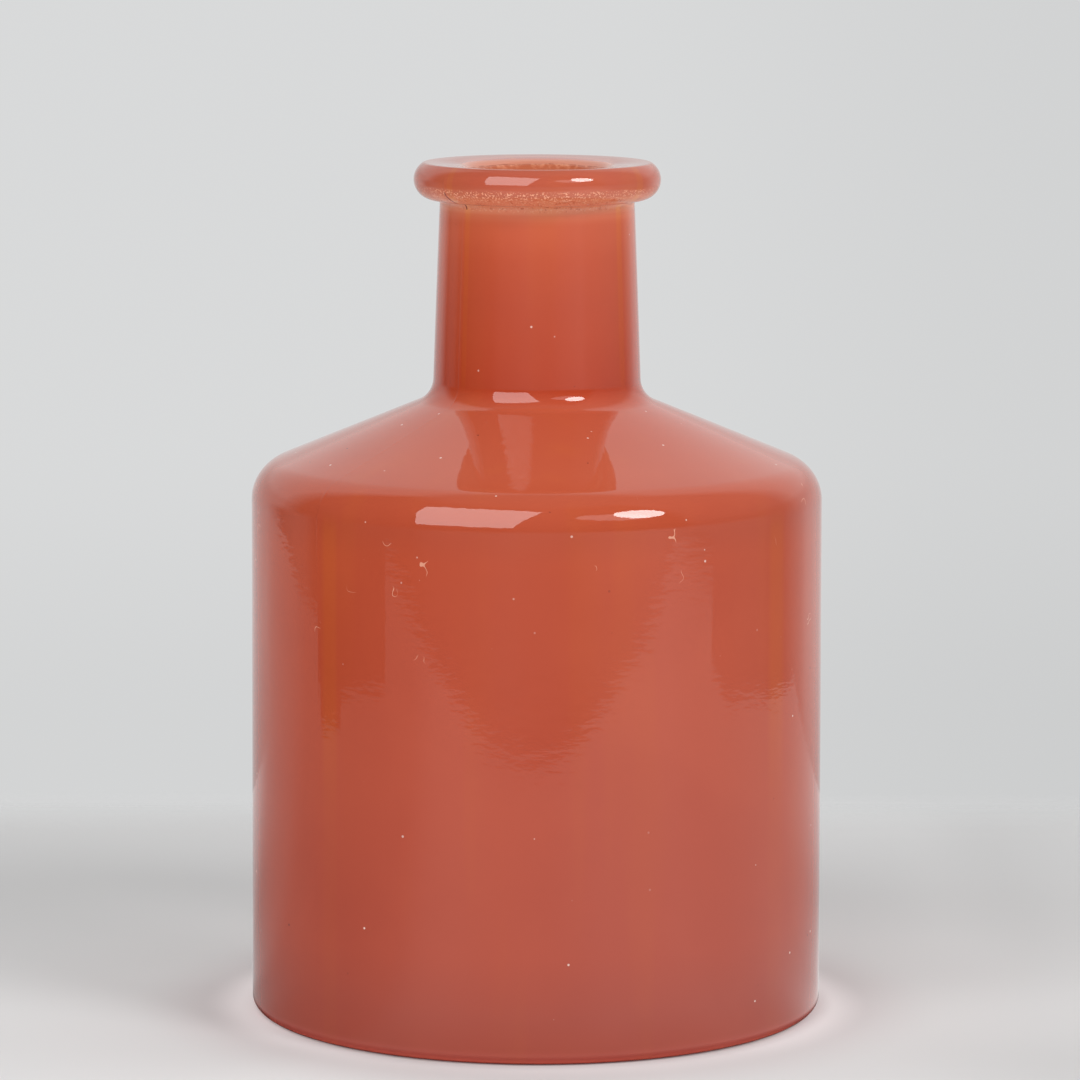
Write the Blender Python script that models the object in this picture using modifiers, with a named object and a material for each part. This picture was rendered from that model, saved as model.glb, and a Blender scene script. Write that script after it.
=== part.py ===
"""Glass bottle vase with a colour coat on its inner face.

A straight round body, a conical shoulder, a short neck that widens downwards and a thick
rounded lip. The bottle is one turned wall of glass: its outline runs from the middle of the
floor inside, up to the mouth, over the lip, down the outside and under the base.
Run it with: blender --background --python part.py
Metres, +Z up. The origin is the middle of the foot, on the surface that the bottle stands on.
"""

import math

import bpy

MM = 0.001

# Driving dimensions
HEIGHT = 179.0 * MM
FOOT_RADIUS = 60.3 * MM
SHOULDER_RADIUS = 60.0 * MM
HEEL_ROUND = 2.5 * MM
SHOULDER_START = 108.3 * MM
SHOULDER_ROUND = 9.1 * MM
SHOULDER_SLOPE = math.radians(22.5)
NECK_FOOT_RADIUS = 21.8 * MM
NECK_TOP_RADIUS = 20.45 * MM
NECK_FILLET = 4.0 * MM
LIP_FILLET = 1.0 * MM
LIP_RADIUS = 25.9 * MM
LIP_ROUND = 4.15 * MM
LIP_MIDDLE_DROP = 3.6 * MM
LIP_EDGE_ROUND = 0.5 * MM
MOUTH_RADIUS = 13.5 * MM
MOUTH_ROUND = 3.0 * MM

# The wall, and the pushed-up base that leaves a flat ring to stand on
BODY_WALL = 3.6 * MM
NECK_WALL = 4.6 * MM
BASE_THICKNESS = 5.0 * MM
PUSH_UP = 4.0 * MM
RING_WIDTH = 4.5 * MM
INNER_HEEL_ROUND = 6.0 * MM
INNER_FILLET = 6.0 * MM
INNER_SHOULDER_ROUND = 5.0 * MM
MOUTH_DEPTH = 9.0 * MM

TURN_STEPS = 60
MERGE_DISTANCE = 0.00001

GLASS_COLOUR = (0.58, 0.105, 0.052, 1.0)
GLASS_ROUGHNESS = 0.04


def arc(centre_r, centre_z, radius, start_deg, end_deg, count):
    """Points (r, z) on an arc about a centre, from one angle to another."""
    points = []
    for i in range(count):
        angle = math.radians(start_deg + (end_deg - start_deg) * i / (count - 1))
        points.append((centre_r + radius * math.cos(angle), centre_z + radius * math.sin(angle)))
    return points


def cone_height(r, wall=0.0):
    """Height of the shoulder's cone at radius r, lowered by a wall measured square to it."""
    start_r = SHOULDER_RADIUS - SHOULDER_ROUND * (1 - math.sin(SHOULDER_SLOPE))
    start_z = SHOULDER_START + SHOULDER_ROUND * math.cos(SHOULDER_SLOPE)
    return start_z + (start_r - r) * math.tan(SHOULDER_SLOPE) - wall / math.cos(SHOULDER_SLOPE)


def lip_outside():
    """From the flat rim over its edge, round the bulge and through the fillet to the neck."""
    middle_z = HEIGHT - LIP_MIDDLE_DROP
    bulge_r = LIP_RADIUS - LIP_ROUND
    # The edge round touches the flat rim and sits inside the bulge's circle.
    edge_z = HEIGHT - LIP_EDGE_ROUND
    rise = edge_z - middle_z
    reach = LIP_ROUND - LIP_EDGE_ROUND
    edge_r = bulge_r + math.sqrt(reach**2 - rise**2)
    edge_deg = math.degrees(math.atan2(rise, edge_r - bulge_r))
    # The fillet touches the neck and the bulge.
    fillet_r = NECK_TOP_RADIUS + LIP_FILLET
    span = LIP_ROUND + LIP_FILLET
    drop = math.sqrt(span**2 - (bulge_r - fillet_r) ** 2)
    fillet_z = middle_z - drop
    meet_deg = math.degrees(math.atan2(drop, bulge_r - fillet_r))
    points = arc(edge_r, edge_z, LIP_EDGE_ROUND, 90, edge_deg, 3)
    points += arc(bulge_r, middle_z, LIP_ROUND, edge_deg, meet_deg - 180, 12)[1:]
    points += arc(fillet_r, fillet_z, LIP_FILLET, meet_deg, 180, 4)[1:]
    return points


def outside():
    """The outer outline from the rim's outer edge down to the ring that the bottle stands on."""
    slope_deg = math.degrees(SHOULDER_SLOPE)
    points = lip_outside()
    fillet_r = NECK_FOOT_RADIUS + NECK_FILLET
    fillet_z = cone_height(fillet_r) + NECK_FILLET / math.cos(SHOULDER_SLOPE)
    points += arc(fillet_r, fillet_z, NECK_FILLET, 180, 270 - slope_deg, 5)
    points += arc(
        SHOULDER_RADIUS - SHOULDER_ROUND, SHOULDER_START, SHOULDER_ROUND, 90 - slope_deg, 0, 7
    )
    points += arc(FOOT_RADIUS - HEEL_ROUND, HEEL_ROUND, HEEL_ROUND, 0, -90, 5)
    return points


def dome(rim_r, rim_z, rise, count):
    """Points from the rim of a shallow round dome to its top on the axis."""
    radius = (rim_r**2 + rise**2) / (2 * rise)
    end_deg = math.degrees(math.asin(rim_r / radius))
    points = arc(0.0, rim_z + rise - radius, radius, 90 - end_deg, 90, count)
    points[-1] = (0.0, rim_z + rise)
    return points


def underside():
    """From the inner edge of the standing ring up into the pushed-up base, to the axis."""
    ring_r = FOOT_RADIUS - HEEL_ROUND - RING_WIDTH
    return dome(ring_r, 0.0, PUSH_UP, 5)


def inside():
    """The inner outline from the middle of the floor up to the inner edge of the rim."""
    slope_deg = math.degrees(SHOULDER_SLOPE)
    wall_r = SHOULDER_RADIUS - BODY_WALL
    floor_z = BASE_THICKNESS
    floor_r = wall_r - INNER_HEEL_ROUND
    points = dome(floor_r, floor_z, PUSH_UP, 5)[::-1]
    points += arc(floor_r, floor_z + INNER_HEEL_ROUND, INNER_HEEL_ROUND, -90, 0, 6)[1:]
    points += arc(
        wall_r - INNER_SHOULDER_ROUND, SHOULDER_START, INNER_SHOULDER_ROUND, 0, 90 - slope_deg, 6
    )
    neck_r = NECK_FOOT_RADIUS - NECK_WALL
    turn_r = neck_r + INNER_FILLET
    turn_z = cone_height(turn_r, BODY_WALL) + INNER_FILLET / math.cos(SHOULDER_SLOPE)
    points += arc(turn_r, turn_z, INNER_FILLET, 270 - slope_deg, 180, 5)
    points.append((MOUTH_RADIUS, HEIGHT - MOUTH_DEPTH))
    points += arc(MOUTH_RADIUS + MOUTH_ROUND, HEIGHT - MOUTH_ROUND, MOUTH_ROUND, 180, 90, 6)
    return points


def turned(name, outline, collection):
    """An outline in the XZ plane, from the axis back to the axis, turned about Z into a solid."""
    mesh = bpy.data.meshes.new(name)
    edges = [(i, i + 1) for i in range(len(outline) - 1)]
    mesh.from_pydata([(r, 0.0, z) for r, z in outline], edges, [])
    piece = bpy.data.objects.new(name, mesh)
    collection.objects.link(piece)
    screw = piece.modifiers.new("Turn", "SCREW")
    screw.axis = "Z"
    screw.angle = 2 * math.pi
    screw.steps = TURN_STEPS
    screw.render_steps = TURN_STEPS
    screw.use_merge_vertices = True
    screw.merge_threshold = MERGE_DISTANCE
    screw.use_smooth_shade = True
    return piece


def glass_material():
    """Glossy coral glass: clear outside, with its colour coat on the inner face."""
    material = bpy.data.materials.new("CoralGlass")
    material.use_nodes = True
    shader = material.node_tree.nodes["Principled BSDF"]
    shader.inputs["Base Color"].default_value = GLASS_COLOUR
    shader.inputs["Roughness"].default_value = GLASS_ROUGHNESS
    shader.inputs["Metallic"].default_value = 0.0
    return material


def glass_bottle(collection):
    """The whole bottle, open at the mouth."""
    bottle = turned("glass_bottle", inside() + outside() + underside(), collection)
    bottle.data.materials.append(glass_material())
    return bottle


def main():
    for old in list(bpy.data.objects):
        bpy.data.objects.remove(old, do_unlink=True)
    parts = bpy.data.collections.new("BottleVase")
    bpy.context.scene.collection.children.link(parts)
    glass_bottle(parts)


main()
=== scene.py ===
import math

import bpy
import numpy as np
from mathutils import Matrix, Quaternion, Vector


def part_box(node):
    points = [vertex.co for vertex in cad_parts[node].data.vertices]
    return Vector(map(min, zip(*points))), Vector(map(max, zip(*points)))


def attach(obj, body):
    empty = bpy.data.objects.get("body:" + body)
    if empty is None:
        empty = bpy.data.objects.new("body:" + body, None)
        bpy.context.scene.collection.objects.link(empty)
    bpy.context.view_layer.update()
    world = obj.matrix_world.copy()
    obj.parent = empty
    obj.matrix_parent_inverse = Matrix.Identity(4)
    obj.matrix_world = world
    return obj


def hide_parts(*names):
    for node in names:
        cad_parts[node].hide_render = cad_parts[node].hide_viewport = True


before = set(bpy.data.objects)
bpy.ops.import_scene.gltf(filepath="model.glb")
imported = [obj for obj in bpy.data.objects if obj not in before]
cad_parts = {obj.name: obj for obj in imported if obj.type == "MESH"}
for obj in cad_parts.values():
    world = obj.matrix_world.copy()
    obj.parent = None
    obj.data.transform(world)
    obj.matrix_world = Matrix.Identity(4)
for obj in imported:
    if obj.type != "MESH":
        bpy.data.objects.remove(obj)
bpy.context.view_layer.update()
mm = 0.001

footCorner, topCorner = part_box("glass_bottle")   # the bottle's corners at rest, in metres
vaseHeight = (topCorner.z - footCorner.z) / mm
footRadius = (topCorner.x - footCorner.x) / 2 / mm


def addNode(tree, kind, settings=None, values=None):
    # one shader node; settings are its own switches, values its unlinked inputs by name or number
    made = tree.nodes.new(kind)
    for name, value in (settings or {}).items():
        setattr(made, name, value)
    for name, value in (values or {}).items():
        made.inputs[name].default_value = value
    return made


def plug(tree, source, target):
    # a link, or a plain number put on the socket
    if isinstance(source, (int, float)):
        target.default_value = source
    else:
        tree.links.new(source, target)


def calc(tree, operation, first, second=0.0, third=0.0):
    # one Math node's result
    made = addNode(tree, "ShaderNodeMath", {"operation": operation})
    for value, socket in zip((first, second, third), made.inputs):
        plug(tree, value, socket)
    return made.outputs[0]


def smooth(tree, value, low, high, atLow=0.0, atHigh=1.0):
    # a smooth step from atLow to atHigh while the value goes from low to high
    made = addNode(tree, "ShaderNodeMapRange", {"interpolation_type": "SMOOTHSTEP"})
    for number, source in enumerate((value, low, high, atLow, atHigh)):
        plug(tree, source, made.inputs[number])
    return made.outputs[0]


def blendColour(tree, amount, first, second, kind="MIX"):
    # mixes two colours, each a socket or a plain (r, g, b)
    made = addNode(tree, "ShaderNodeMix", {"data_type": "RGBA", "blend_type": kind})
    plug(tree, amount, made.inputs["Factor"])
    for source, name in ((first, "A"), (second, "B")):
        socket = [s for s in made.inputs if s.name == name and s.type == "RGBA"][0]
        if isinstance(source, tuple):
            socket.default_value = (*source, 1.0)
        else:
            tree.links.new(source, socket)
    return [s for s in made.outputs if s.type == "RGBA"][0]


def stretched(tree, position, scale):
    # the position scaled along each axis, for streaks and rings
    made = addNode(tree, "ShaderNodeMapping", values={"Scale": scale})
    tree.links.new(position, made.inputs["Vector"])
    return made.outputs["Vector"]


def noise(tree, position, scale, detail=2.0, roughness=0.5):
    # a smooth random value from 0 to 1, with `scale` bumps per metre and finer ones added on top
    made = addNode(tree, "ShaderNodeTexNoise", {"noise_dimensions": "3D"},
                   {"Scale": scale, "Detail": detail, "Roughness": roughness})
    tree.links.new(position, made.inputs["Vector"])
    return made.outputs["Fac"]


bottle = {                       # millimetres and degrees
    "shoulderRadius": 60.0,
    "heelRound": 2.5,
    "shoulderStart": 108.3,      # height where the straight body ends
    "shoulderRound": 9.1,
    "shoulderSlope": 22.5,
    "neckFootRadius": 21.8,
    "neckTopRadius": 20.45,
    "neckFillet": 5.4,
    "lipFillet": 1.0,
    "lipRadius": 25.9,
    "lipRound": 4.15,
    "lipMiddleDrop": 3.6,
    "lipEdgeRound": 1.3,
    "mouthRadius": 13.5,
    "mouthRound": 3.0,
    "bodyWall": 3.6,
    "neckWall": 4.6,
    "baseThickness": 5.0,
    "pushUp": 4.0,
    "ringWidth": 4.5,
    "innerHeelRound": 6.0,
    "innerFillet": 6.0,
    "innerShoulderRound": 5.0,
    "mouthDepth": 9.0,
    "crown": 0.55,               # how far the rim falls from its crest to the rounded mouth
    "crestRadius": 22.5,
    "crownMost": 1.5,            # the way inwards counts no further than this, with 1 at the round
    "crownDepth": 4.0,           # nothing falls that is further than this under the top
    "crownFade": 3.0,            # and everything falls in full from this much above that
    "columns": 224,              # steps round the bottle, plus the fine ones at the seams
    "seamAngle": -138.0,         # degrees from +X; the other seam is opposite
    "seamHeight": 0.045,
    "seamWidth": 0.22,
    "seamStep": 0.42,            # the fine steps at the seams are multiples of this, in degrees
    "seamFrom": 90.0,            # below this height a seam keeps only its least share
    "seamGain": 25.0,            # and it is at its full height this much higher
    "seamLeast": 0.15,
    "seamEnd": 1.6,              # how far under the top a seam has run out
    "seamEndFade": 1.5,
    "wobble": 0.07,              # how far the blown wall wanders inwards
    "innerStep": 3.0,            # lengths of the mesh's steps along the outline
    "lipStep": 0.5,
    "outerStep": 1.15,
    "stillRimRows": 6,           # rows of the outline at the rim and the heel that don't wander
    "stillHeelRows": 10,
}


def arc(centreR, centreZ, radius, startDeg, endDeg, count):
    # (r, z) = centre + radius (cos a, sin a), with a going evenly from the start to the end
    a = np.radians(np.linspace(startDeg, endDeg, count))
    return np.column_stack([centreR + radius * np.cos(a), centreZ + radius * np.sin(a)])


def coneHeight(r, wall=0.0):
    # the shoulder's cone falls by tan(slope) per unit of r, lowered by wall / cos(slope)
    slope = math.radians(bottle["shoulderSlope"])
    startR = bottle["shoulderRadius"] - bottle["shoulderRound"] * (1 - math.sin(slope))
    startZ = bottle["shoulderStart"] + bottle["shoulderRound"] * math.cos(slope)
    return startZ + (startR - r) * math.tan(slope) - wall / math.cos(slope)


def dome(rimR, rimZ, rise, count):
    # an arc through the rim and the top, whose radius is (rim^2 + rise^2) / (2 rise)
    radius = (rimR**2 + rise**2) / (2 * rise)
    end = math.degrees(math.asin(rimR / radius))
    points = arc(0.0, rimZ + rise - radius, radius, 90 - end, 90, count)
    points[-1] = (0.0, rimZ + rise)
    return points


def insideOutline():
    # from the middle of the floor inside up to the inner edge of the rim
    b = bottle
    wallR = b["shoulderRadius"] - b["bodyWall"]
    floorR = wallR - b["innerHeelRound"]
    neckR = b["neckFootRadius"] - b["neckWall"]
    turnR = neckR + b["innerFillet"]
    turnZ = (coneHeight(turnR, b["bodyWall"])
             + b["innerFillet"] / math.cos(math.radians(b["shoulderSlope"])))
    return [
        dome(floorR, b["baseThickness"], b["pushUp"], 12)[::-1],
        arc(floorR, b["baseThickness"] + b["innerHeelRound"], b["innerHeelRound"], -90, 0, 12),
        arc(wallR - b["innerShoulderRound"], b["shoulderStart"], b["innerShoulderRound"],
            0, 90 - b["shoulderSlope"], 10),
        arc(turnR, turnZ, b["innerFillet"], 270 - b["shoulderSlope"], 180, 10),
        np.array([[b["mouthRadius"], vaseHeight - b["mouthDepth"]]]),
        arc(b["mouthRadius"] + b["mouthRound"], vaseHeight - b["mouthRound"],
            b["mouthRound"], 180, 90, 14),
    ]


def lipOutline():
    # flat rim, small round edge, bulge and fillet, each arc touching the next
    b = bottle
    middleZ = vaseHeight - b["lipMiddleDrop"]
    bulgeR = b["lipRadius"] - b["lipRound"]
    edgeZ = vaseHeight - b["lipEdgeRound"]
    rise, reach = edgeZ - middleZ, b["lipRound"] - b["lipEdgeRound"]
    edgeR = bulgeR + math.sqrt(reach**2 - rise**2)
    edgeDeg = math.degrees(math.atan2(rise, edgeR - bulgeR))
    filletR = b["neckTopRadius"] + b["lipFillet"]
    span = b["lipRound"] + b["lipFillet"]
    drop = math.sqrt(span**2 - (bulgeR - filletR)**2)
    meetDeg = math.degrees(math.atan2(drop, bulgeR - filletR))
    return [
        arc(edgeR, edgeZ, b["lipEdgeRound"], 90, edgeDeg, 8),
        arc(bulgeR, middleZ, b["lipRound"], edgeDeg, meetDeg - 180, 44),
        arc(filletR, middleZ - drop, b["lipFillet"], meetDeg, 180, 8),
    ]


def bodyOutline():
    # neck foot, shoulder and heel, down to the ring that the bottle stands on
    b = bottle
    filletR = b["neckFootRadius"] + b["neckFillet"]
    filletZ = (coneHeight(filletR)
               + b["neckFillet"] / math.cos(math.radians(b["shoulderSlope"])))
    return [
        arc(filletR, filletZ, b["neckFillet"], 180, 270 - b["shoulderSlope"], 16),
        arc(b["shoulderRadius"] - b["shoulderRound"], b["shoulderStart"], b["shoulderRound"],
            90 - b["shoulderSlope"], 0, 26),
        arc(footRadius - b["heelRound"], b["heelRound"], b["heelRound"], 0, -90, 14),
    ]


def joined(pieces, step):
    # one line through the pieces, its straight stretches cut to the step; doubled points dropped
    line = np.concatenate(pieces)
    gap = np.hypot(*np.diff(line, axis=0).T)
    line = line[np.concatenate([[True], gap > 1e-6])]
    gap = np.hypot(*np.diff(line, axis=0).T)
    travel = np.concatenate([[0.0], np.cumsum(gap)])
    wanted = [np.linspace(a, b, max(1, int(round((b - a) / step))), endpoint=False)
              for a, b in zip(travel[:-1], travel[1:])]
    at = np.concatenate(wanted + [travel[-1:]])
    return np.column_stack([np.interp(at, travel, line[:, 0]), np.interp(at, travel, line[:, 1])])


def roundSteps(columns, seams, width):
    # even angles, with extra ones packed about each seam
    even = np.arange(columns) * 360.0 / columns
    fine = np.concatenate([s + np.array([-3, -2, -1.2, -0.6, 0, 0.6, 1.2, 2, 3]) * width
                           for s in seams])
    fine %= 360.0
    away = np.min(np.abs((even[:, None] - fine[None, :] + 180) % 360 - 180), axis=1)
    return np.radians(np.sort(np.concatenate([even[away > 0.35], fine])))


def turnedMesh(name, line, angles, moved):
    # each point (r, z) of a line from axis to axis is moved by its own rule and carried round to
    # (r cos a, r sin a, z)
    ring = line[1:-1]
    r = np.repeat(ring[:, :1], len(angles), axis=1)
    z = np.repeat(ring[:, 1:], len(angles), axis=1)
    r, z = moved(r, z, angles[None, :])
    grid = np.stack([r * np.cos(angles), r * np.sin(angles), z], axis=-1).reshape(-1, 3)
    ends = np.array([[0.0, 0.0, line[0, 1]], [0.0, 0.0, line[-1, 1]]])
    points = np.concatenate([grid, ends]) * mm
    rows, columns = ring.shape[0], len(angles)
    here = np.arange(columns)
    after = (here + 1) % columns
    base = np.arange(rows - 1)[:, None] * columns
    quads = np.stack([base + here, base + after, base + columns + after,
                      base + columns + here], axis=-1).reshape(-1, 4)
    first, last = len(grid), len(grid) + 1
    bottomFan = np.stack([np.full(columns, first), after, here], axis=-1)
    low = (rows - 1) * columns
    topFan = np.stack([np.full(columns, last), low + here, low + after], axis=-1)
    mesh = bpy.data.meshes.new(name)
    mesh.from_pydata(points.tolist(), [],
                     quads.tolist() + bottomFan.tolist() + topFan.tolist())
    mesh.update()
    if signedVolume(mesh) < 0:
        mesh.flip_normals()
    mesh.shade_smooth()
    made = bpy.data.objects.new(name, mesh)
    bpy.context.scene.collection.objects.link(made)
    return made


def signedVolume(mesh):
    # a sixth of the sum of each triangle's triple product; positive when faces point outwards
    mesh.calc_loop_triangles()
    corner = np.empty(len(mesh.loop_triangles) * 3, np.int32)
    mesh.loop_triangles.foreach_get("vertices", corner)
    place = np.empty(len(mesh.vertices) * 3)
    mesh.vertices.foreach_get("co", place)
    a, b, c = np.moveaxis(place.reshape(-1, 3)[corner].reshape(-1, 3, 3), 1, 0)
    return float(np.einsum("ij,ij->", a, np.cross(b, c))) / 6


def crownFall(r, z):
    # the rim falls from its crest by the square of the way inwards, and lower down not at all
    b = bottle
    inwards = (b["crestRadius"] - r) / (b["crestRadius"] - b["mouthRadius"] - b["mouthRound"])
    share = np.clip((z - vaseHeight + b["crownDepth"]) / b["crownFade"], 0, 1)
    return b["crown"] * np.clip(inwards, 0, b["crownMost"])**2 * share


def blownWall(r, z, angle):
    # the outer wall wanders inwards by a slow wave, the sum of three sines of angle and height,
    # and stands out along the two mould seams by a bell curve across each
    b = bottle
    outer = np.zeros_like(r)
    outer[outsideRow[0]:outsideRow[1]] = 1.0
    wave = (np.sin(2 * angle + z / 31.0 + 0.6) + np.sin(3 * angle - z / 23.0 + 2.1)
            + 0.6 * np.sin(z / 6.5 + np.sin(angle + 0.4)))
    slow = -b["wobble"] * (0.5 + wave / 5.2) * outer
    seam = np.radians(b["seamAngle"])
    z = z - crownFall(r, z)
    across = np.sin(angle - seam) * r                  # distance from the plane of the seams
    ridge = b["seamHeight"] * np.exp(-(across / b["seamWidth"])**2)
    ridge *= np.clip((z - b["seamFrom"]) / b["seamGain"], b["seamLeast"], 1)
    ridge *= np.clip((vaseHeight - b["seamEnd"] - z) / b["seamEndFade"], 0, 1)
    return r + (slow + ridge * outer), z


print("shaping the bottle")
inner = joined(insideOutline(), bottle["innerStep"])
lip = joined(lipOutline(), bottle["lipStep"])
underside = dome(footRadius - bottle["heelRound"] - bottle["ringWidth"], 0.0, bottle["pushUp"], 12)
lower = joined([lip[-1:]] + bodyOutline() + [underside[:1]], bottle["outerStep"])
wholeLine = np.concatenate([inner, lip, lower[1:], underside[1:]])
outsideRow = (len(inner) + bottle["stillRimRows"],
              len(inner) + len(lip) + len(lower) - bottle["stillHeelRows"])
seams = [bottle["seamAngle"] % 360, (bottle["seamAngle"] + 180) % 360]
glassAngles = roundSteps(bottle["columns"], seams, bottle["seamStep"])
glassBottle = turnedMesh("glassWall", wholeLine, glassAngles, blownWall)
print("bottle faces:", len(glassBottle.data.polygons))


coral = {
    # height in mm and the colour there, with light and shade painted in: a dark line at the foot as
    # painted contact shadow and a bright one as painted light through the glass, the heel's round
    # lifted by painted light, dull red above them and darker towards the bottom as painted shade,
    # deep red at the neck's foot and lighter up the neck as painted shade and light, and sandy
    # under the lip where the glass is thick, made bright there by painted light in the shade under
    # the lip
    "shadedByHeight": [
        (0.0, (0.190, 0.014, 0.010)), (0.42, (0.190, 0.012, 0.010)),
        (0.60, (0.700, 0.130, 0.085)), (0.90, (0.530, 0.104, 0.076)),
        (1.3, (0.420, 0.076, 0.056)), (2.0, (0.385, 0.064, 0.040)),
        (3.0, (0.335, 0.052, 0.028)), (9.0, (0.348, 0.054, 0.029)),
        (22.0, (0.405, 0.062, 0.030)), (62.0, (0.430, 0.065, 0.0285)),
        (102.0, (0.450, 0.070, 0.028)), (109.0, (0.418, 0.067, 0.029)),
        (115.0, (0.425, 0.074, 0.033)), (119.0, (0.448, 0.086, 0.042)),
        (129.0, (0.440, 0.080, 0.038)), (133.0, (0.410, 0.050, 0.018)),
        (142.0, (0.425, 0.058, 0.022)), (151.0, (0.445, 0.068, 0.028)),
        (160.0, (0.480, 0.080, 0.033)), (167.5, (0.530, 0.103, 0.045)),
        (169.3, (0.660, 0.175, 0.088)), (170.3, (0.880, 0.330, 0.185)),
        (171.4, (0.900, 0.335, 0.190)), (172.5, (0.830, 0.270, 0.142)),
        (173.5, (0.570, 0.140, 0.072)), (175.5, (0.462, 0.094, 0.050)),
        (177.6, (0.430, 0.088, 0.048)), (178.5, (0.420, 0.090, 0.050)),
        (179.0, (0.400, 0.090, 0.050)),
    ],
    "mouth": (0.55, 0.205, 0.130),     # clear glass over the coat round the mouth
    "mouthFrom": (0.1748, 0.1756),     # it begins between these heights
    "mouthEdge": (0.0158, 0.0170),     # and ends between these distances from the axis
    "cloud": (0.95, 0.90, 0.90),       # what the slow clouds multiply the colour by
    "cloudScale": 22.0,                # each scale is in bumps or cells per metre
    "orange": (1.05, 1.18, 0.92),      # what the upright bands multiply the colour by
    # degrees from the front and half width of each band
    "bands": [(-44.5, 2.8), (55.0, 3.6), (118.0, 2.5), (-163.0, 3.2)],
    "streakScale": 95.0,
    "streakLevel": 0.35,
    "speckle": (0.90, 0.44, 0.28),     # pale grains under the lip, and dark ones
    "pit": (0.62, 0.14, 0.06),
    "pitLevel": 0.7,
    "grainBand": (0.1704, 0.1740),
    "speckleScale": 2900.0,
    "pitScale": 1500.0,
    "crease": (0.26, 0.030, 0.018),
    "creaseTurn": -45.5,
    "creaseLean": 3.0,
    "creaseHalf": 0.75,
    "dust": (0.80, 0.62, 0.55),
    "darkDust": (0.10, 0.020, 0.016),
    "dustScale": 260.0,
    "dustChosenAbove": 0.68,
    "dustDarkAbove": 0.72,
    "lint": (0.68, 0.29, 0.19),
    "lintScale": 140.0,
    "lintChosenAbove": 0.76,
    "curlScale": 260.0,
    "lintBand": (0.084, 0.113),
    "ripple": 0.0000185,               # depth in metres of the fine level rings
    "rippleScale": 640.0,
    "roughness": 0.025,
    "ior": 1.5,
}


def heightColours(tree, height, stops):
    # a colour ramp over the bottle's height, straight between the stops
    ramp = addNode(tree, "ShaderNodeValToRGB")
    ramp.color_ramp.interpolation = "LINEAR"
    elements = ramp.color_ramp.elements
    for number, (level, colour) in enumerate(stops):
        spot = level / vaseHeight
        element = elements[number] if number < 2 else elements.new(spot)
        element.position = spot
        element.color = (*colour, 1.0)
    plug(tree, calc(tree, "DIVIDE", height, vaseHeight * mm), ramp.inputs["Fac"])
    return ramp.outputs["Color"]


def splitPlace(tree):
    # the place on the piece, its x, y and z, and its turn from the front in degrees
    place = addNode(tree, "ShaderNodeTexCoord").outputs["Object"]
    apart = addNode(tree, "ShaderNodeSeparateXYZ")
    tree.links.new(place, apart.inputs[0])
    x, y, z = apart.outputs
    turn = calc(tree, "DEGREES", calc(tree, "ARCTAN2", x, calc(tree, "MULTIPLY", y, -1.0)))
    return place, x, y, z, turn


def fromAxis(tree, x, y):
    # how far a place is from the upright axis: the root of x squared plus y squared
    return calc(tree, "SQRT", calc(tree, "ADD", calc(tree, "MULTIPLY", x, x),
                                   calc(tree, "MULTIPLY", y, y)))


def lineAt(tree, value, middle, half):
    # one about the middle, falling smoothly to nothing at the half width
    away = calc(tree, "ABSOLUTE", calc(tree, "SUBTRACT", value, middle))
    return smooth(tree, away, half * 0.35, half, 1.0, 0.0)


def between(tree, value, low, high, soft):
    # one from low to high, with soft ends
    return calc(tree, "MULTIPLY", smooth(tree, value, low - soft, low),
                smooth(tree, value, high, high + soft, 1.0, 0.0))


def uprightBands(tree, place, z, turn):
    # a few narrow bands that run up the glass, and weak uneven streaks between them
    streaks = noise(tree, stretched(tree, place, (1.0, 1.0, 0.10)), coral["streakScale"], 2.0)
    total = smooth(tree, streaks, 0.52, 0.74, 0.0, coral["streakLevel"])
    level = calc(tree, "MULTIPLY", smooth(tree, z, 0.045, 0.072, 0.25, 1.0),
                 calc(tree, "SUBTRACT", 1.0, between(tree, z, 0.112, 0.130, 0.006)))
    for middle, half in coral["bands"]:
        band = calc(tree, "MULTIPLY", lineAt(tree, turn, middle, half), level)
        total = calc(tree, "MAXIMUM", total, band)
    return total


def seedGrains(tree, place, y, z):
    # fine pale grains and dark ones in the sandy band under the lip, thickest on one side
    side = smooth(tree, calc(tree, "MULTIPLY", y, -1.0), 0.008, 0.019, 0.35, 1.0)
    where = calc(tree, "MULTIPLY", between(tree, z, *coral["grainBand"], 0.0008), side)
    fine = noise(tree, place, coral["speckleScale"], 1.0, 0.5)
    coarse = noise(tree, stretched(tree, place, (0.6, 0.6, 1.0)), coral["pitScale"], 2.0, 0.6)
    pale = calc(tree, "MULTIPLY", smooth(tree, fine, 0.55, 0.66), where)
    dark = calc(tree, "MULTIPLY", smooth(tree, coarse, 0.54, 0.66), where)
    return pale, dark


def creaseLine(tree, z, turn):
    # a short fold across the fillet under the lip, whose turn changes smoothly with the height
    path = smooth(tree, z, 0.1708, 0.1738, coral["creaseTurn"],
                  coral["creaseTurn"] - coral["creaseLean"])
    line = lineAt(tree, calc(tree, "SUBTRACT", turn, path), 0.0, coral["creaseHalf"])
    return calc(tree, "MULTIPLY", line, between(tree, z, 0.1703, 0.1736, 0.0003))


def dustCells(tree, place, scale, chosenAbove):
    # a few cells of a fine pattern: how far each point is from its cell's middle, which cells
    # are chosen, and a second random number for each
    cells = addNode(tree, "ShaderNodeTexVoronoi", {"feature": "F1"},
                    {"Scale": scale, "Randomness": 1.0})
    tree.links.new(place, cells.inputs["Vector"])
    apart = addNode(tree, "ShaderNodeSeparateColor")
    tree.links.new(cells.outputs["Color"], apart.inputs[0])
    chosen = calc(tree, "GREATER_THAN", apart.outputs[0], chosenAbove)
    return cells.outputs["Distance"], chosen, apart.outputs[1]


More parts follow.
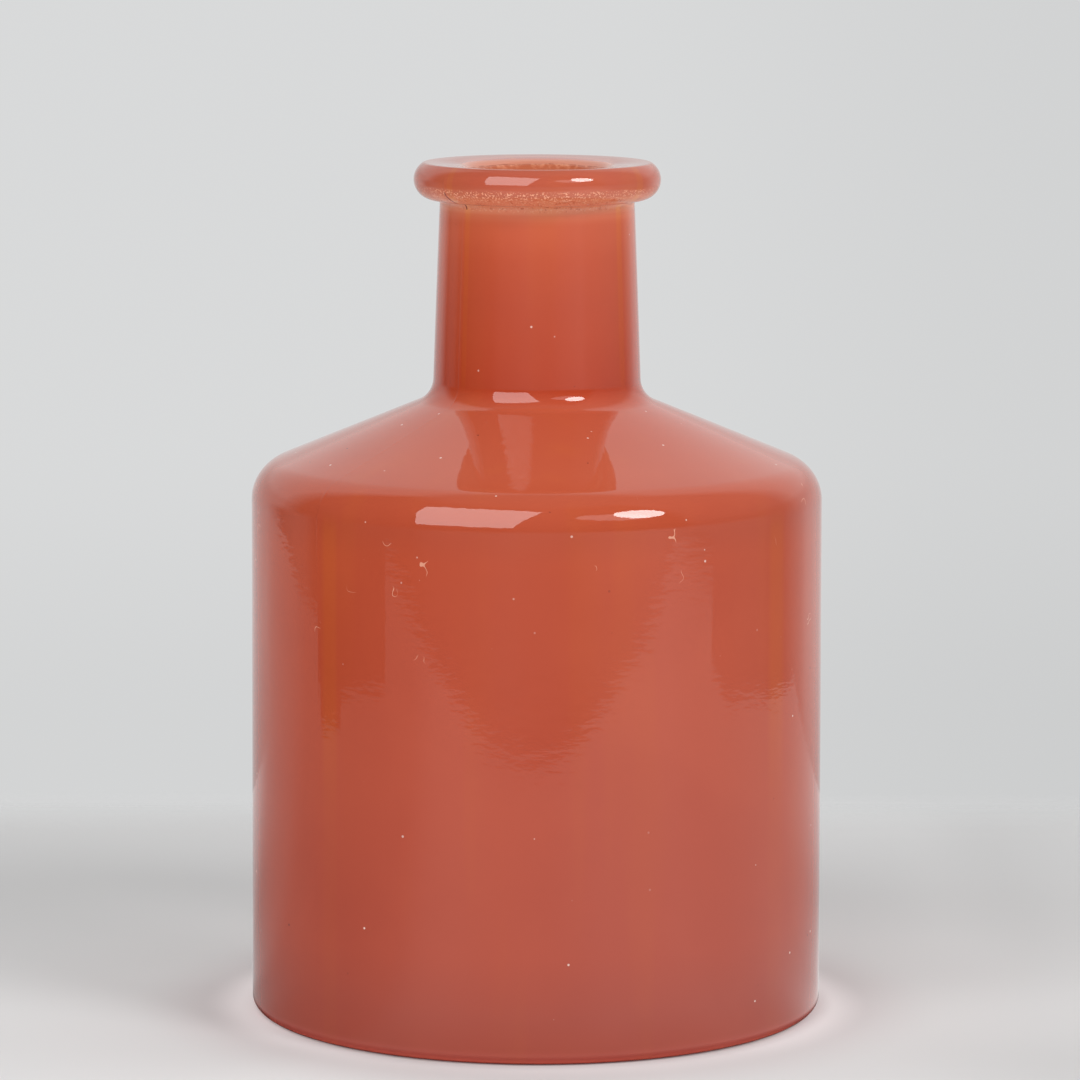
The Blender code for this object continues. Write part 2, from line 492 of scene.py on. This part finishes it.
def dustSpecks(tree, place, z):
    # one speck in the middle of each chosen cell, most of them pale; denser near the shoulder
    away, chosen, kind = dustCells(tree, place, coral["dustScale"], coral["dustChosenAbove"])
    size = smooth(tree, away, 0.045, 0.080, 1.0, 0.0)
    drift = smooth(tree, noise(tree, place, 30.0, 2.0), 0.45, 0.58,
                   smooth(tree, z, 0.075, 0.105, 0.0, 0.5), 1.0)
    specks = calc(tree, "MULTIPLY", size, calc(tree, "MULTIPLY", chosen, drift))
    dark = calc(tree, "GREATER_THAN", kind, coral["dustDarkAbove"])
    return (calc(tree, "MULTIPLY", specks, calc(tree, "SUBTRACT", 1.0, dark)),
            calc(tree, "MULTIPLY", specks, dark))


def lintFibres(tree, place, z):
    # short curled fibres: thin level lines of a noise, kept only inside a few cells
    away, chosen, _ = dustCells(tree, place, coral["lintScale"], coral["lintChosenAbove"])
    curl = lineAt(tree, noise(tree, place, coral["curlScale"], 1.0), 0.5, 0.012)
    inside = calc(tree, "MULTIPLY", smooth(tree, away, 0.16, 0.27, 1.0, 0.0), chosen)
    high = between(tree, z, *coral["lintBand"], 0.003)
    return calc(tree, "MULTIPLY", calc(tree, "MULTIPLY", curl, inside), high)


def coralGlass():
    # coral colour under a clear gloss, made as one opaque surface: it follows the height, with
    # painted light and shade in that ramp, then drifts in slow clouds and upright bands, with
    # grains under the lip, dust, lint and a fine ripple of level rings
    material = bpy.data.materials.new("coralGlass")
    material.use_nodes = True
    tree = material.node_tree
    shader = tree.nodes["Principled BSDF"]
    place, x, y, z, turn = splitPlace(tree)
    # the height ramp holds the coral with painted light and shade at the foot, the heel, the neck
    # and under the lip
    colour = heightColours(tree, z, coral["shadedByHeight"])
    clouds = noise(tree, place, coral["cloudScale"], 3.0)
    colour = blendColour(tree, smooth(tree, clouds, 0.4, 0.65), colour, coral["cloud"], "MULTIPLY")
    colour = blendColour(tree, uprightBands(tree, place, z, turn), colour, coral["orange"],
                         "MULTIPLY")
    pale, dark = seedGrains(tree, place, y, z)
    colour = blendColour(tree, calc(tree, "MULTIPLY", dark, coral["pitLevel"]), colour,
                         coral["pit"])
    colour = blendColour(tree, pale, colour, coral["speckle"])
    mouth = calc(tree, "MULTIPLY", smooth(tree, z, *coral["mouthFrom"]),
                 smooth(tree, fromAxis(tree, x, y), *coral["mouthEdge"], 1.0, 0.0))
    colour = blendColour(tree, mouth, colour, coral["mouth"])
    colour = blendColour(tree, creaseLine(tree, z, turn), colour, coral["crease"])
    paleDust, darkDust = dustSpecks(tree, place, z)
    colour = blendColour(tree, lintFibres(tree, place, z), colour, coral["lint"])
    colour = blendColour(tree, paleDust, colour, coral["dust"])
    colour = blendColour(tree, darkDust, colour, coral["darkDust"])
    tree.links.new(colour, shader.inputs["Base Color"])
    shader.inputs["Roughness"].default_value = coral["roughness"]
    shader.inputs["IOR"].default_value = coral["ior"]
    rings = noise(tree, stretched(tree, place, (0.40, 0.40, 1.0)), coral["rippleScale"], 2.0, 0.55)
    bump = addNode(tree, "ShaderNodeBump", values={"Strength": 1.0, "Distance": coral["ripple"]})
    tree.links.new(rings, bump.inputs["Height"])
    tree.links.new(bump.outputs["Normal"], shader.inputs["Normal"])
    return material


glassBottle.data.materials.append(coralGlass())
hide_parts("glass_bottle")
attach(glassBottle, "root")


coat = {
    "gap": 0.03,              # clear of the glass, so that the two faces never meet
    "thickness": 0.12,
    "topDrop": 1.7,           # how far along the rounded mouth the coat stops short of the flat rim
    "wave": 0.45,             # how much its upper edge goes up and down
    "step": 1.6,
    "columns": 240,
    "colour": (0.43, 0.105, 0.045),
    "thin": (0.66, 0.25, 0.14),
    "thinFrom": (0.1762, 0.1778),      # heights between which the grains turn to the thin colour
    "grainScale": 700.0,
    "grainDepth": 0.00004,
    "roughness": 0.22,
    "ior": 1.5,
}


def coatSurface():
    # the inner outline up to a length that changes with the angle, set off inwards, then back
    line = joined(insideOutline(), coat["step"])
    gap = np.hypot(*np.diff(line, axis=0).T)
    travel = np.concatenate([[0.0], np.cumsum(gap)])
    slope = np.gradient(line, travel, axis=0)
    inward = np.column_stack([-slope[:, 1], slope[:, 0]])       # the outline turned a quarter left
    inward /= np.hypot(*inward.T)[:, None]
    angles = np.arange(coat["columns"]) * 2 * np.pi / coat["columns"]
    uneven = (np.sin(3 * angles + 0.5) + 0.7 * np.sin(7 * angles + 2.0)
              + 0.5 * np.sin(17 * angles) + 0.4 * np.sin(29 * angles + 1.0)) / 2.6
    reach = travel[-1] - coat["topDrop"] - coat["wave"] * (0.5 + 0.5 * uneven)
    part = np.concatenate([np.linspace(0, 0.93, 60), np.linspace(0.93, 1.0, 40)[1:]])
    along = part[:, None] * reach[None, :]

    def offset(distance):
        return [np.interp(along, travel, line[:, k] + distance * inward[:, k]) for k in (0, 1)]

    outerR, outerZ = offset(coat["gap"])
    innerR, innerZ = offset(coat["gap"] + coat["thickness"])
    r = np.concatenate([outerR, innerR[::-1]])
    z = np.concatenate([outerZ, innerZ[::-1]])
    z = z - crownFall(r, z)
    profile = np.column_stack([r[:, 0], z[:, 0]])
    profile[0, 0] = profile[-1, 0] = 0.0
    return turnedMesh("colourCoat", profile, angles, lambda *unused: (r[1:-1], z[1:-1]))


def coatMaterial():
    # a thin orange film of fine grain, whose grains turn paler where it runs out near the mouth
    material = bpy.data.materials.new("colourCoat")
    material.use_nodes = True
    tree = material.node_tree
    shader = tree.nodes["Principled BSDF"]
    place, _, _, z, _ = splitPlace(tree)
    grain = noise(tree, place, coat["grainScale"], 3.0, 0.6)
    thin = calc(tree, "MULTIPLY", smooth(tree, grain, 0.45, 0.65),
                smooth(tree, z, *coat["thinFrom"], 0.1, 0.95))
    colour = blendColour(tree, thin, coat["colour"], coat["thin"])
    tree.links.new(colour, shader.inputs["Base Color"])
    shader.inputs["Roughness"].default_value = coat["roughness"]
    shader.inputs["IOR"].default_value = coat["ior"]
    bump = addNode(tree, "ShaderNodeBump", values={"Strength": 1.0, "Distance": coat["grainDepth"]})
    tree.links.new(grain, bump.inputs["Height"])
    tree.links.new(bump.outputs["Normal"], shader.inputs["Normal"])
    return material


print("laying the coat inside")
colourCoat = coatSurface()
colourCoat.data.materials.append(coatMaterial())
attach(colourCoat, "root")


studio = {
    "halfWidth": 1.6,
    "front": 1.6,
    "back": 0.205,            # about here the table fades into the backdrop
    "backMore": 0.06,         # and its mesh goes on this far behind it
    "backdrop": (0.690, 0.697, 0.700),
    "tableColour": (0.66, 0.66, 0.66),
    "tableRoughness": 0.5,
    "rightShade": 0.20,       # painted shade: how much of its tone is lost to the right, most of it in front
    "rightEdge": 0.96,        # and the share left further to the right
    "frontShade": (0.03, 0.07),           # painted shade: how much is lost in front, at the middle and the right
    "leftPaintedLight": 0.06,         # painted light gained at the left in front, and painted shade as much at the left behind
    "behindPaintedLight": 0.085,      # painted light gained behind, at the right
    "paintedFootTint": (0.91, 0.855, 0.86),     # what its colour is multiplied by round the foot: a painted pink reflection of the bottle and painted contact shade
    "paintedTintRing": (0.062, 0.088),
    "footGlow": (0.42, 0.045, 0.025),     # light that comes down through the glass
    "footGlowLevel": 0.28,
    "footRing": (0.0580, 0.0588),
    "paleColour": (1.0, 0.93, 0.93),      # and the paler light outside it
    "paleGlow": 0.24,
    "paleRing": (0.0595, 0.0715),
    # the corners of the bright sheet that the glass mirrors, going round from the front's middle
    "sheet": [(0.0, -0.41), (0.09, -0.423), (0.20, -0.45), (0.30, -0.47), (0.76, -0.472),
              (0.82, -0.38), (0.81, -0.25), (0.54, -0.193), (0.475, -0.11), (0.487, 0.0),
              (0.45, 0.156), (0.41, 0.25), (0.30, 0.24), (-0.30, 0.24), (-0.45, 0.50),
              (-0.66, 0.52), (-0.70, 0.36), (-0.685, 0.27), (-0.655, 0.18), (-0.65, 0.045),
              (-0.49, 0.012), (-0.427, -0.003), (-0.427, -0.08), (-0.478, -0.085), (-0.486, -0.152),
              (-0.466, -0.208), (-0.445, -0.265), (-0.704, -0.40), (-0.534, -0.459),
              (-0.31, -0.452), (-0.20, -0.438), (-0.12, -0.416)],
    # how bright the sheet is, by degrees round from the front
    "sheetGlow": [(-180, 0.75), (-139, 0.80), (-128, 0.62), (-108, 0.54), (-99, 0.42), (-75, 0.42),
                  (-60, 0.50), (-48, 0.58), (-38, 0.84), (-28, 0.92), (-12, 0.86), (4, 0.92),
                  (22, 1.15), (50, 1.22), (64, 1.08), (88, 0.98), (104, 0.83), (140, 0.85),
                  (160, 0.75), (180, 0.75)],
    "sheetHeight": 0.00005,
    "sheetBehind": 0.62,      # painted shade: what is left of it close behind the foot
    "sheetContact": (0.0598, 0.0640),     # painted contact shadow: where it goes out under the foot, and what is left there
    "contactLevel": 0.05,
    "sheetEnd": (0.60, 0.80),             # how it fades at its right end
    "endLevel": 0.45,
    "frontDip": 0.25,                     # painted shade: how much is lost close in front of the foot
}


def flatPiece(name, corners, height):
    # one flat face through the corners, facing up
    mesh = bpy.data.meshes.new(name)
    mesh.from_pydata([(x, y, height) for x, y in corners], [], [tuple(range(len(corners)))])
    made = bpy.data.objects.new(name, mesh)
    bpy.context.scene.collection.objects.link(made)
    return made


def paintedTableShade(tree, x, y):
    # painted shade and light on the table: one, less a painted shade to the right, plus or minus a
    # painted lift at the left, less a painted shade in front, plus painted light at the right
    # behind, each by smooth steps in x and y
    s = studio
    right = calc(tree, "MULTIPLY", smooth(tree, x, 0.02, 0.11),
                 smooth(tree, y, -0.06, 0.14, s["rightShade"], 0.0))
    left = calc(tree, "MULTIPLY", smooth(tree, x, -0.05, -0.02, 1.0, 0.0),
                smooth(tree, y, 0.0, 0.15, s["leftPaintedLight"], -s["leftPaintedLight"]))
    tone = calc(tree, "ADD", calc(tree, "SUBTRACT", 1.0, right), left)
    tone = calc(tree, "MULTIPLY", tone, smooth(tree, x, 0.06, 0.11, 1.0, s["rightEdge"]))
    front = calc(tree, "MULTIPLY", smooth(tree, x, 0.0, 0.04, *s["frontShade"]),
                 smooth(tree, y, -0.06, -0.02, 1.0, 0.0))
    tone = calc(tree, "MULTIPLY", tone, calc(tree, "SUBTRACT", 1.0, front))
    behind = calc(tree, "MULTIPLY", between(tree, x, 0.06, 0.09, 0.025),
                  smooth(tree, y, 0.02, 0.07, 0.0, s["behindPaintedLight"]))
    return calc(tree, "ADD", tone, behind)


def paleTable():
    # a wide sheet whose back edge fades into the backdrop; the glass doesn't mirror it
    s = studio
    side, front, back = s["halfWidth"], s["front"], s["back"] + s["backMore"]
    made = flatPiece("table", [(-side, -front), (side, -front), (side, back), (-side, back)], 0.0)
    material = bpy.data.materials.new("paleTable")
    material.use_nodes = True
    tree = material.node_tree
    shader = tree.nodes["Principled BSDF"]
    shader.inputs["Roughness"].default_value = s["tableRoughness"]
    _, x, y, _, _ = splitPlace(tree)
    away = fromAxis(tree, x, y)
    # painted shade and light across the table's colour
    tone = paintedTableShade(tree, x, y)
    plain = addNode(tree, "ShaderNodeCombineColor")
    for socket, part in zip(plain.inputs, s["tableColour"]):
        plug(tree, calc(tree, "MULTIPLY", tone, part), socket)
    # a painted pink reflection of the coral bottle and painted contact shade round the foot
    paintedTint = smooth(tree, away, *s["paintedTintRing"], 1.0, 0.0)
    colour = blendColour(tree, paintedTint, plain.outputs[0], s["paintedFootTint"], "MULTIPLY")
    tree.links.new(colour, shader.inputs["Base Color"])
    # light that comes down through the glass: red at the foot, then pale and fading
    red = smooth(tree, away, *s["footRing"], 1.0, 0.0)
    glow = calc(tree, "MULTIPLY", smooth(tree, away, *s["paleRing"], s["paleGlow"], 0.0),
                smooth(tree, y, -0.055, -0.020, 0.42, 1.0))
    tree.links.new(blendColour(tree, red, s["paleColour"], s["footGlow"]),
                   shader.inputs["Emission Color"])
    tree.links.new(smooth(tree, red, 0.0, 1.0, glow, s["footGlowLevel"]),
                   shader.inputs["Emission Strength"])
    clear = addNode(tree, "ShaderNodeBsdfTransparent")
    mixed = addNode(tree, "ShaderNodeMixShader")
    fade = smooth(tree, y, s["back"] - 0.02, s["back"] + 0.04)
    tree.links.new(fade, mixed.inputs[0])
    tree.links.new(shader.outputs[0], mixed.inputs[1])
    tree.links.new(clear.outputs[0], mixed.inputs[2])
    tree.links.new(mixed.outputs[0], tree.nodes["Material Output"].inputs["Surface"])
    made.data.materials.append(material)
    made.visible_glossy = False


def brightnessRound(tree, turn, stops):
    # brightness read off a ramp over the whole turn, which is (turn + 180) / 360; the ramp holds
    # each level as a share of the brightest
    ramp = addNode(tree, "ShaderNodeValToRGB")
    elements = ramp.color_ramp.elements
    for number, (angle, level) in enumerate(stops):
        spot = (angle + 180) / 360
        element = elements[number] if number < 2 else elements.new(spot)
        element.position = spot
        element.color = (*[level / room["brightest"]] * 3, 1.0)
    plug(tree, calc(tree, "MULTIPLY_ADD", turn, 1 / 360, 0.5), ramp.inputs["Fac"])
    return calc(tree, "MULTIPLY", ramp.outputs["Color"], room["brightest"])


def mirroredSheet():
    # what the glass sees of the table: a glow that changes round the bottle, with painted shade
    # that makes it weaker close behind and in front of the foot, and nearly puts it out where the
    # foot stands
    s = studio
    made = flatPiece("mirroredSheet", s["sheet"], s["sheetHeight"])
    material = bpy.data.materials.new("mirroredSheet")
    material.use_nodes = True
    tree = material.node_tree
    _, x, y, _, turn = splitPlace(tree)
    away = fromAxis(tree, x, y)
    level = brightnessRound(tree, turn, s["sheetGlow"])
    close = smooth(tree, away, 0.12, 0.30, 1.0 - s["sheetBehind"], 0.0)
    shade = calc(tree, "MULTIPLY", close, smooth(tree, y, 0.0, 0.12))
    level = calc(tree, "MULTIPLY", level, calc(tree, "SUBTRACT", 1.0, shade))
    level = calc(tree, "MULTIPLY", level,
                 smooth(tree, away, *s["sheetContact"], s["contactLevel"], 1.0))
    level = calc(tree, "MULTIPLY", level, smooth(tree, x, *s["sheetEnd"], 1.0, s["endLevel"]))
    front = smooth(tree, y, -0.03, 0.0, s["frontDip"], 0.0)
    dim = calc(tree, "MULTIPLY", front, smooth(tree, away, 0.065, 0.110, 1.0, 0.0))
    level = calc(tree, "MULTIPLY", level, calc(tree, "SUBTRACT", 1.0, dim))
    glow = addNode(tree, "ShaderNodeEmission")
    tree.links.new(level, glow.inputs["Strength"])
    tree.links.new(glow.outputs[0], tree.nodes["Material Output"].inputs["Surface"])
    made.data.materials.append(material)
    made.visible_camera = made.visible_diffuse = made.visible_shadow = False


room = {
    # degrees from the front, to the right, and how bright the room is there below the horizon
    "low": [(-180, 0.90), (-138, 0.88), (-130, 0.58), (-124, 0.22), (-119, 0.30), (-112, 0.37),
            (-106, 0.33), (-101, 0.12), (-92, 0.05), (-80, 0.14), (-68, 0.20), (-52, 0.24),
            (-43, 0.42), (-30, 0.50), (-12, 0.68), (0, 0.62), (14, 0.60), (26, 0.75), (50, 0.97),
            (60, 0.78), (72, 0.74), (90, 0.67), (103, 0.55), (109, 0.40), (117, 0.38), (124, 0.62),
            (133, 0.85), (139, 1.05), (150, 1.02), (160, 0.90), (180, 0.90)],
    # and from the horizon up to 60 degrees
    "high": [(-180, 1.17), (-170, 1.15), (-158, 1.03), (-126, 1.10), (-110, 0.10), (-14, 0.12),
             (-6, 0.22), (12, 0.22), (22, 0.12), (60, 0.08), (68, 0.45), (118, 0.45), (134, 1.17),
             (180, 1.17)],
    "top": 0.35,
    "brightest": 1.5,         # what a ramp's white stands for
    "lowDip": 0.82,           # shares left of the low part far down, and of the high part low down
    "highDip": 0.80,
    "seenRight": 0.935,       # shares left of the backdrop at the right, and lower down
    "seenLow": 0.945,
}


def studioWorld():
    # for the camera pale all round, a little darker to the right and lower down; for the glass
    # it follows the two ramps, blended across the horizon, then goes over to the top's level
    world = bpy.data.worlds.new("studio")
    bpy.context.scene.world = world
    world.use_nodes = True
    tree = world.node_tree
    tree.nodes.clear()
    out = addNode(tree, "ShaderNodeOutputWorld")
    way = addNode(tree, "ShaderNodeTexCoord").outputs["Generated"]
    apart = addNode(tree, "ShaderNodeSeparateXYZ")
    tree.links.new(way, apart.inputs[0])
    x, y, z = apart.outputs
    turn = calc(tree, "DEGREES", calc(tree, "ARCTAN2", x, calc(tree, "MULTIPLY", y, -1.0)))
    rise = calc(tree, "DEGREES", calc(tree, "ARCSINE", z))
    low = brightnessRound(tree, turn, room["low"])
    high = brightnessRound(tree, turn, room["high"])
    low = calc(tree, "MULTIPLY", low, smooth(tree, rise, -10.5, -8.5, room["lowDip"], 1.0))
    high = calc(tree, "MULTIPLY", high, smooth(tree, rise, 9.0, 15.0, room["highDip"], 1.0))
    level = smooth(tree, rise, -2.0, 6.0, low, high)
    level = smooth(tree, rise, 60.0, 72.0, level, room["top"])
    unseen = addNode(tree, "ShaderNodeBackground")
    tree.links.new(level, unseen.inputs["Strength"])
    seen = addNode(tree, "ShaderNodeBackground", values={"Color": (*studio["backdrop"], 1.0)})
    tree.links.new(calc(tree, "MULTIPLY", smooth(tree, x, 0.0, 0.10, 1.0, room["seenRight"]),
                        smooth(tree, z, -0.172, -0.118, room["seenLow"], 1.0)),
                   seen.inputs["Strength"])
    path = addNode(tree, "ShaderNodeLightPath")
    mixed = addNode(tree, "ShaderNodeMixShader")
    tree.links.new(path.outputs["Is Camera Ray"], mixed.inputs[0])
    tree.links.new(unseen.outputs[0], mixed.inputs[1])
    tree.links.new(seen.outputs[0], mixed.inputs[2])
    tree.links.new(mixed.outputs[0], out.inputs["Surface"])


lampAimHeight = 0.11             # metres up the bottle's axis; every lamp is set round this point
lamps = {
    # from that point: degrees right of the front, degrees up, metres away, size in metres, and
    # degrees that it leans about its own beam; one that isn't mirrored only fills
    "leftPanel": {"turn": -29.0, "rise": 35.5, "away": 1.1, "wide": 0.81, "high": 0.90,
                  "radiance": 4.4, "shape": "RECTANGLE"},
    "rightKey": {"turn": 47.5, "rise": 38.8, "away": 1.3, "wide": 0.43, "high": 0.42,
                 "radiance": 14.5, "shape": "ELLIPSE", "lean": -19.0},
    "keyHalo": {"turn": 34.0, "rise": 35.0, "away": 1.36, "wide": 0.66, "high": 0.36,
                "radiance": 1.7, "shape": "ELLIPSE", "lean": -14.0},
    "sideFill": {"turn": 92.0, "rise": 12.0, "away": 1.3, "wide": 0.7, "high": 0.7,
                 "radiance": 3.5, "shape": "RECTANGLE", "mirrored": False},
}


def softLamp(name, plan):
    # an area lamp of even radiance facing the bottle; its watts are radiance times area times pi,
    # and an ellipse has pi / 4 of its rectangle's area
    a, e = math.radians(plan["turn"]), math.radians(plan["rise"])
    out = Vector((math.sin(a) * math.cos(e), -math.cos(a) * math.cos(e), math.sin(e)))
    data = bpy.data.lights.new(name, "AREA")
    data.shape = plan["shape"]
    data.size, data.size_y = plan["wide"], plan["high"]
    filled = math.pi / 4 if plan["shape"] == "ELLIPSE" else 1.0
    data.energy = plan["radiance"] * plan["wide"] * plan["high"] * filled * math.pi
    lamp = bpy.data.objects.new(name, data)
    lamp.location = Vector((0, 0, lampAimHeight)) + out * plan["away"]
    lamp.rotation_mode = "QUATERNION"
    lean = Quaternion((0, 0, 1), math.radians(plan.get("lean", 0.0)))
    lamp.rotation_quaternion = (-out).to_track_quat("-Z", "Y") @ lean
    lamp.visible_camera = False
    lamp.visible_glossy = plan.get("mirrored", True)
    bpy.context.scene.collection.objects.link(lamp)


view = {
    "place": (0.0, -1.1436, 0.2589),      # metres
    "aim": (0.0007, 0.0, 0.0993),
    "lens": 182.6,                        # millimetres, as is the sensor
    "sensor": 36.0,
    "roll": 0.11,                         # degrees
    "nearest": 0.01,                      # metres between which things are shown
    "furthest": 50.0,
}


def standCamera():
    # looks from its place at the aim, then leans about its own line of sight
    data = bpy.data.cameras.new("camera")
    data.sensor_width = view["sensor"]
    data.lens = view["lens"]
    data.clip_start, data.clip_end = view["nearest"], view["furthest"]
    camera = bpy.data.objects.new("camera", data)
    bpy.context.scene.collection.objects.link(camera)
    place, aim = Vector(view["place"]), Vector(view["aim"])
    camera.location = place
    camera.rotation_mode = "QUATERNION"
    lean = Quaternion((0, 0, 1), math.radians(view["roll"]))
    camera.rotation_quaternion = (aim - place).to_track_quat("-Z", "Y") @ lean
    bpy.context.scene.camera = camera


print("setting the table, lamps and camera")
paleTable()
mirroredSheet()
studioWorld()
for lampName, plan in lamps.items():
    softLamp(lampName, plan)
standCamera()
bpy.context.scene.view_settings.view_transform = "Standard"
bpy.context.scene.view_settings.look = "None"
